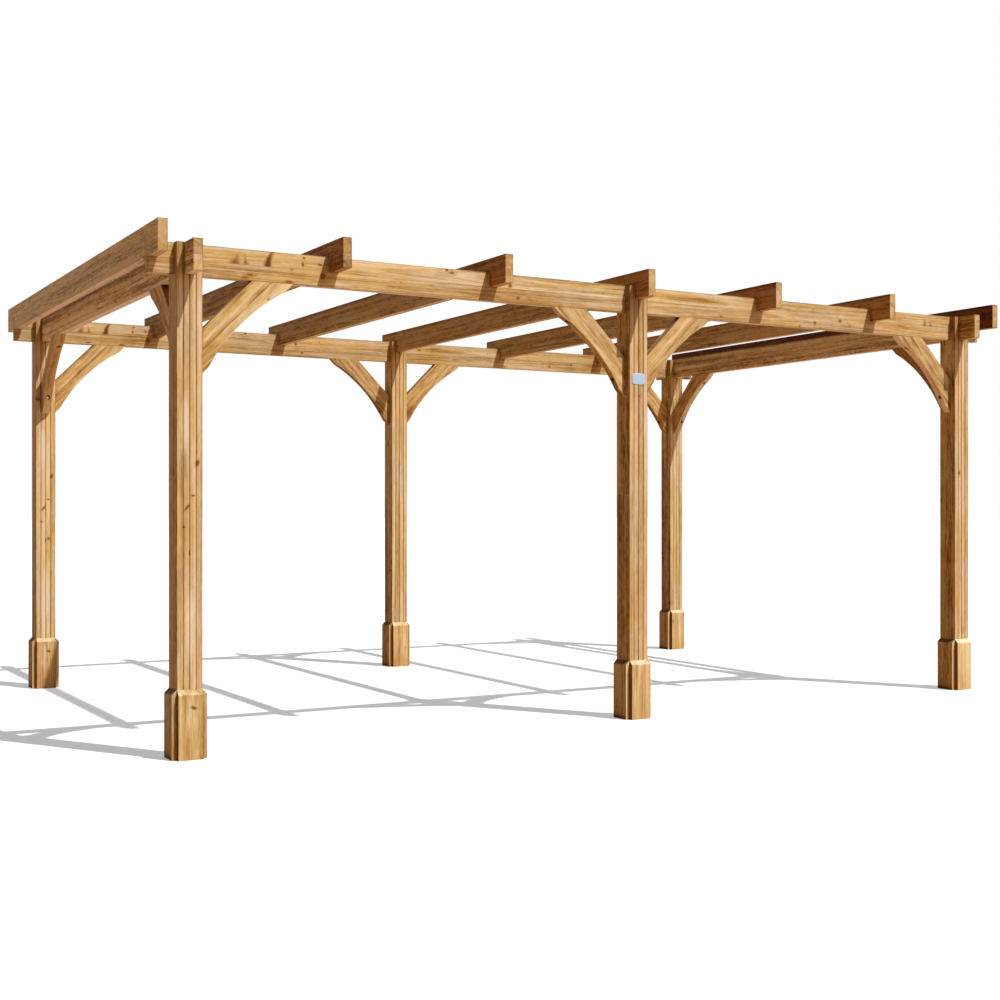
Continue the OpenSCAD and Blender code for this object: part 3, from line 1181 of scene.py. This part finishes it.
seats, pointing = screw_seats()
print("screw seats:", len(seats))

# %% [markdown]
# The screws are zinc plated steel. Zinc settles in small grey crystals with a slightly yellow
# cast, so a fine cell pattern moves the colour and the roughness a little from cell to cell,
# and a soft noise adds the scuffs of the spanner.

# %% Zinc
CRYSTALS, SCUFFS = 900.0, 260.0
ZINC_STOPS = [(0.0, (0.42, 0.42, 0.41)), (0.6, (0.60, 0.59, 0.56)), (1.0, (0.74, 0.72, 0.66))]
ZINC_ROUGH, CRYSTAL_ROUGH, SCUFF_ROUGH = 0.28, 0.12, 0.15
SCREW_CREASE = 35


def zinc_finish():
    """Grey metal: half of its shade comes from the crystals and half from the scuffs."""
    finish, wire = new_finish("screw_zinc")
    place = wire.add("TexCoord", out="Object")
    cell = wire.add("TexVoronoi", {"feature": "F1"}, {"Vector": place, "Scale": CRYSTALS}, "Color")
    pale, _, dull = cell.parts()
    scuff = place.stretch((SCUFFS, SCUFFS, SCUFFS)).noise(3.0, 0.6)
    put_out(wire, {
        "Base Color": wire.add("ValToRGB", {"stops": ZINC_STOPS}, {0: pale * 0.5 + scuff * 0.5}),
        "Metallic": 1.0,
        "Roughness": ZINC_ROUGH + dull * CRYSTAL_ROUGH + scuff * SCUFF_ROUGH,
    })
    return finish


screws = repeated(head, head_faces, seats, pointing)
add_piece("brace_screws", *screws, zinc_finish(), "screw_zinc", SCREW_CREASE)

# %% [markdown]
# The front middle post carries a small bare plate of pale metal with rounded corners. Its
# outline is a superellipse, the curve on which the powers of the two distances add up to one:
# power two would be an ellipse, and a high power comes close to a rectangle. Rows of smaller
# outlines make the rolled rim and the slightly crowned face.

# %% Plate
PLATE_HALF = (0.0425, 0.0305)
PLATE_HEIGHT = 1.840
PLATE_POWER = 5.0
# Rows by their share of the outline and how far they stand off the post
PLATE_PROFILE = np.array([
    (0.96, 0.0000), (0.985, 0.0002), (1.0, 0.0008), (1.0, 0.0014), (0.985, 0.0019),
    (0.96, 0.0021), (0.90, 0.0022), (0.60, 0.0025), (0.30, 0.0027),
])
PLATE_TURNS = 96


def plate_points():
    """Rows of superellipses: the sign times the power two over n of the cosine and the sine."""
    angle = np.linspace(0, 2 * np.pi, PLATE_TURNS, endpoint=False)
    around = np.stack([np.cos(angle), np.sin(angle)])
    outline = np.sign(around) * np.abs(around) ** (2 / PLATE_POWER)
    flat = outline * np.array(PLATE_HALF)[:, None]
    share, depth = PLATE_PROFILE.T[:, :, None]
    low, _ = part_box("post_front_middle")
    rows = np.stack([share * flat[0], low.y - depth + 0 * angle, PLATE_HEIGHT + share * flat[1]], -1)
    middles = np.array([[0, low.y - d, PLATE_HEIGHT] for d in PLATE_PROFILE[[0, -1], 1]])
    return np.concatenate([rows.reshape(-1, 3), middles])


plate = plate_points()
print("points in the plate:", len(plate))

# %% [markdown]
# The metal of the plate was brushed along its length. Noise that is stretched a hundred times
# draws such lines, and one and the same noise moves the colour, the roughness and the height,
# so that a line which looks darker is also the one that catches the light in another way.

# %% Brushed metal
BRUSH_PITCH, CLOUD_PITCH, CLOUD_START = (25.0, 40.0, 2600.0), (30.0, 30.0, 30.0), (3.0, 0.0, 1.0)
METAL_STOPS = [(0.25, (0.39, 0.52, 0.66)), (0.75, (0.48, 0.61, 0.76))]
METAL_SHARE = 0.2
METAL_ROUGH, BRUSH_ROUGH, CLOUD_ROUGH = 0.45, 0.2, 0.1
BRUSH_STRENGTH, BRUSH_DEPTH = 0.3, 0.0002
PLATE_CREASE = 60


def plate_finish():
    """Pale blue brushed metal: fine lines along x in colour, roughness and height."""
    finish, wire = new_finish("plate_metal")
    place = wire.add("TexCoord", out="Object")
    brushed = place.stretch(BRUSH_PITCH).noise(2.0, 0.6)
    cloud = place.stretch(CLOUD_PITCH, CLOUD_START).noise(2.0, 0.5)
    bump = {"Strength": BRUSH_STRENGTH, "Distance": BRUSH_DEPTH, "Height": brushed}
    put_out(wire, {
        "Base Color": wire.add("ValToRGB", {"stops": METAL_STOPS}, {0: brushed * 0.5 + cloud * 0.5}),
        "Metallic": METAL_SHARE,
        "Normal": wire.add("Bump", sockets=bump),
        "Roughness": METAL_ROUGH + brushed * BRUSH_ROUGH + cloud * CLOUD_ROUGH,
    })
    return finish


plate_faces = ring_faces(len(PLATE_PROFILE), PLATE_TURNS)
add_piece("post_plate", plate, plate_faces, plate_finish(), "plate_metal", PLATE_CREASE)
